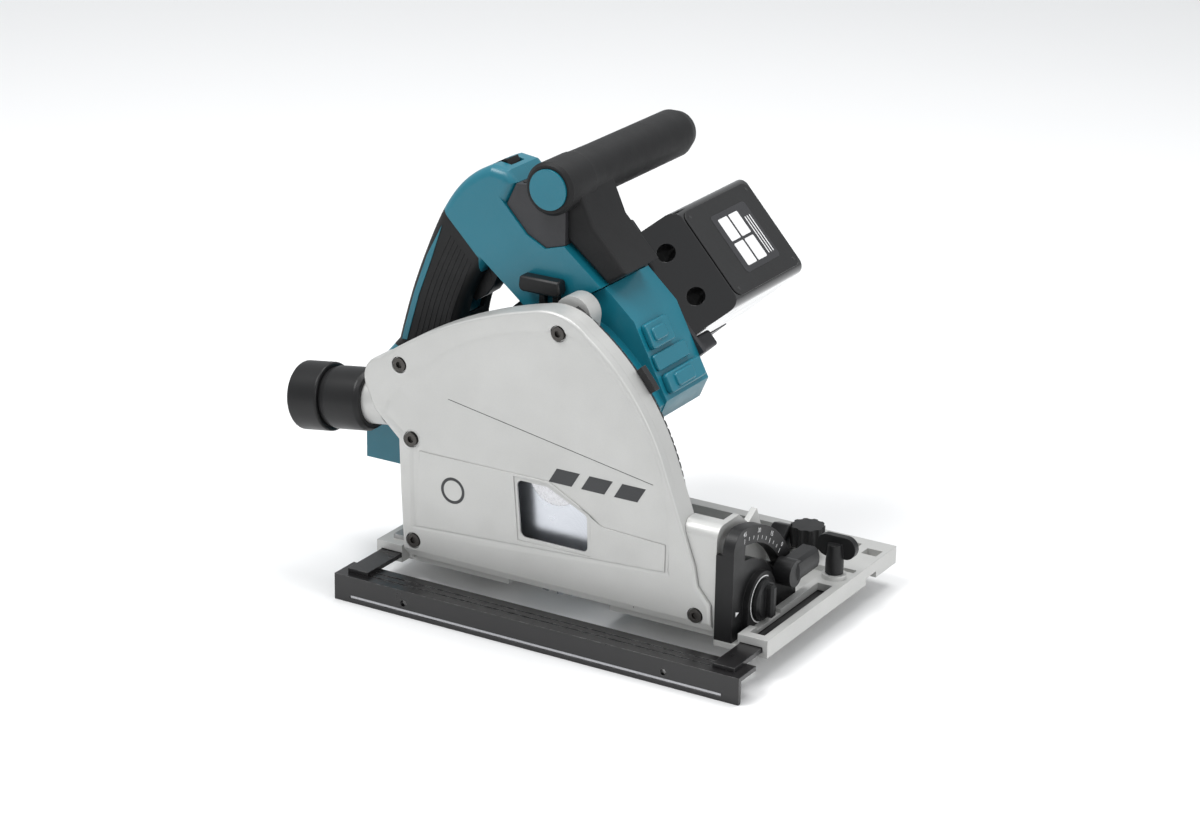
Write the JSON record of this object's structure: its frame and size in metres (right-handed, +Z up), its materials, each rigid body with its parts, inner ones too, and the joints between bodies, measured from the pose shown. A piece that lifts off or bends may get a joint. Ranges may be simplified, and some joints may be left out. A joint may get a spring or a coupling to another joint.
{
  "type": "track plunge saw",
  "caption": "Cordless plunge-cut circular saw for a guide rail, with a tilting blade case, a plunging motor head, two battery packs and a side guide fence.",
  "frame": {"origin": "centre of the base plate's sole, on its underside", "axes": "+X is the cutting direction, +Y points from the blade towards the motor and batteries, +Z is up"},
  "size_m": [0.3646, 0.263, 0.2961],
  "materials": {
    "cast_paint": "satin silver paint over die casting",
    "grey_metal": "satin",
    "black_guide": "matte moulded",
    "black_steel": "semi-gloss black",
    "bright_steel": "brushed",
    "dark_steel": "black oxide",
    "stator_core": "laminated",
    "teal_plastic": "satin moulded",
    "grip_rubber": "matte",
    "grey_plastic": "matte moulded",
    "battery_black": "gloss",
    "button_red": "satin",
    "board_green": "satin"
  },
  "bodies": {
    "base": {"base_plate": "cast_paint", "front_bevel_guide": "black_guide", "rear_bevel_guide": "grey_metal", "bevel_guide_screws": "dark_steel"},
    "fence": {"fence_rule": "black_steel", "front_fence_arm": "black_steel", "rear_fence_arm": "black_steel"},
    "front_fence_screw": {"front_fence_screw": "black_guide"},
    "rear_fence_screw": {"rear_fence_screw": "black_guide"},
    "front_rail_adjuster": {"front_rail_adjuster": "black_guide"},
    "rear_rail_adjuster": {"rear_rail_adjuster": "black_guide"},
    "rail_lock": {"rail_lock_slide": "black_guide"},
    "stop_dial": {"bevel_stop_dial": "black_guide"},
    "case": {"blade_cover": "cast_paint", "cover_screws": "dark_steel", "inner_case": "cast_paint", "front_bracket": "cast_paint", "rear_bracket": "cast_paint", "plunge_pin": "bright_steel", "pin_clip": "bright_steel", "depth_scale": "black_steel"},
    "clamp_lever": {"bevel_clamp_lever": "black_guide"},
    "rear_clamp": {"rear_clamp_knob": "black_guide"},
    "depth_stop": {"depth_stop": "black_steel"},
    "nozzle": {"dust_nozzle": "black_guide", "nozzle_collar": "black_guide"},
    "head": {"gear_case": "cast_paint", "gear_cover": "grey_metal", "stop_bolt": "dark_steel", "spindle_bearings": "bright_steel", "rotor_bearings": "bright_steel", "stator": "stator_core", "motor_housing": "teal_plastic", "motor_controller": "board_green", "handle_half_near": "teal_plastic", "handle_half_far": "teal_plastic", "handle_grip": "grip_rubber", "handle_insert": "grey_plastic", "front_handle": "grip_rubber", "handle_cap": "teal_plastic", "battery_mount": "grey_plastic", "terminal_blocks": "bright_steel", "trigger_pin": "bright_steel"},
    "spindle": {"spindle": "bright_steel", "driven_gear": "dark_steel", "inner_flange": "bright_steel", "outer_flange": "bright_steel", "blade_bolt": "dark_steel", "saw_blade": "bright_steel"},
    "rotor": {"rotor": "bright_steel", "drive_pinion": "dark_steel", "cooling_fan": "grey_plastic"},
    "trigger": {"trigger": "black_guide"},
    "lock_off": {"lock_off_button": "black_guide"},
    "plunge_lock": {"plunge_lock_lever": "black_guide"},
    "speed_dial": {"speed_dial": "black_guide"},
    "battery_front": {"battery_front": "battery_black"},
    "battery_rear": {"battery_rear": "battery_black"},
    "button_front": {"battery_button_front": "button_red"},
    "button_rear": {"battery_button_rear": "button_red"}
  },
  "joints": [
    {"name": "fence_slide", "type": "slide", "parent": "base", "child": "fence", "axis": [0, 1, 0], "range_m": [-0.06, 0.006]},
    {"name": "front_fence_screw_turn", "type": "hinge", "parent": "base", "child": "front_fence_screw", "pos_m": [0.13575, 0.022, 0.02], "axis": [0, 0, 1], "range_deg": [0, 360]},
    {"name": "rear_fence_screw_turn", "type": "hinge", "parent": "base", "child": "rear_fence_screw", "pos_m": [-0.13565, 0.022, 0.02], "axis": [0, 0, 1], "range_deg": [0, 360]},
    {"name": "front_adjuster_turn", "type": "hinge", "parent": "base", "child": "front_rail_adjuster", "pos_m": [0.09975, 0.0535, 0.02], "axis": [0, 0, 1], "range_deg": [0, 180]},
    {"name": "rear_adjuster_turn", "type": "hinge", "parent": "base", "child": "rear_rail_adjuster", "pos_m": [-0.08425, 0.0535, 0.02], "axis": [0, 0, 1], "range_deg": [0, 180]},
    {"name": "rail_lock_travel", "type": "slide", "parent": "base", "child": "rail_lock", "axis": [0, 1, 0], "range_m": [0, 0.006]},
    {"name": "stop_dial_turn", "type": "hinge", "parent": "base", "child": "stop_dial", "pos_m": [0.12775, -0.059, 0.024], "axis": [1, 0, 0], "range_deg": [0, 90]},
    {"name": "bevel_tilt", "type": "hinge", "parent": "base", "child": "case", "pos_m": [0, -0.0805, 0], "axis": [1, 0, 0], "range_deg": [-1, 48]},
    {"name": "clamp_lever_turn", "type": "hinge", "parent": "case", "child": "clamp_lever", "pos_m": [0.12775, -0.03018, 0.03268], "axis": [1, 0, 0], "range_deg": [0, 75]},
    {"name": "rear_clamp_turn", "type": "hinge", "parent": "case", "child": "rear_clamp", "pos_m": [-0.13725, -0.03018, 0.03268], "axis": [1, 0, 0], "range_deg": [0, 180]},
    {"name": "depth_stop_set", "type": "hinge", "parent": "case", "child": "depth_stop", "pos_m": [-0.07925, -0.0725, 0.056], "axis": [0, 1, 0], "range_deg": [-20, 14]},
    {"name": "nozzle_swivel", "type": "hinge", "parent": "case", "child": "nozzle", "pos_m": [-0.14225, -0.075, 0.107], "axis": [-0.9903, 0, -0.1392], "range_deg": [-90, 90]},
    {"name": "plunge", "type": "hinge", "parent": "case", "child": "head", "pos_m": [-0.07925, -0.0575, 0.056], "axis": [0, 1, 0], "range_deg": [0, 46.9], "stiffness_Nm_per_rad": 4, "springref_deg": -74.48},
    {"name": "spindle_spin", "type": "hinge", "parent": "head", "child": "spindle", "pos_m": [-0.01138, -0.065, 0.0855], "axis": [0, 1, 0], "continuous": true},
    {"name": "rotor_spin", "type": "hinge", "parent": "head", "child": "rotor", "pos_m": [-0.0304, -0.03, 0.10324], "axis": [0, 1, 0], "continuous": true},
    {"name": "trigger_pull", "type": "hinge", "parent": "head", "child": "trigger", "pos_m": [-0.09325, -0.028, 0.205], "axis": [0, 1, 0], "range_deg": [0, 8], "stiffness_Nm_per_rad": 0.6, "springref_deg": -5.73},
    {"name": "lock_off_press", "type": "slide", "parent": "head", "child": "lock_off", "axis": [0.5489, 0, -0.8359], "range_m": [0, 0.002], "stiffness_N_per_m": 400, "springref_m": -0.001},
    {"name": "plunge_lock_press", "type": "slide", "parent": "head", "child": "plunge_lock", "axis": [0, 0, -1], "range_m": [0, 0.005], "stiffness_N_per_m": 300, "springref_m": -0.003},
    {"name": "speed_dial_turn", "type": "hinge", "parent": "head", "child": "speed_dial", "pos_m": [-0.17225, -0.028, 0.092], "axis": [0, 1, 0], "range_deg": [0, 300]},
    {"name": "battery_front_slide", "type": "slide", "parent": "head", "child": "battery_front", "axis": [0, 1, 0], "range_m": [0, 0.12]},
    {"name": "battery_rear_slide", "type": "slide", "parent": "head", "child": "battery_rear", "axis": [0, 1, 0], "range_m": [0, 0.12]},
    {"name": "button_front_press", "type": "slide", "parent": "battery_front", "child": "button_front", "axis": [0, -1, 0], "range_m": [0, 0.002], "stiffness_N_per_m": 400, "springref_m": -0.001},
    {"name": "button_rear_press", "type": "slide", "parent": "battery_rear", "child": "button_rear", "axis": [0, -1, 0], "range_m": [0, 0.002], "stiffness_N_per_m": 400, "springref_m": -0.001}
  ],
  "couplings": [
    {"joint": "rotor_spin", "follows": "spindle_spin", "ratio": -3}
  ]
}
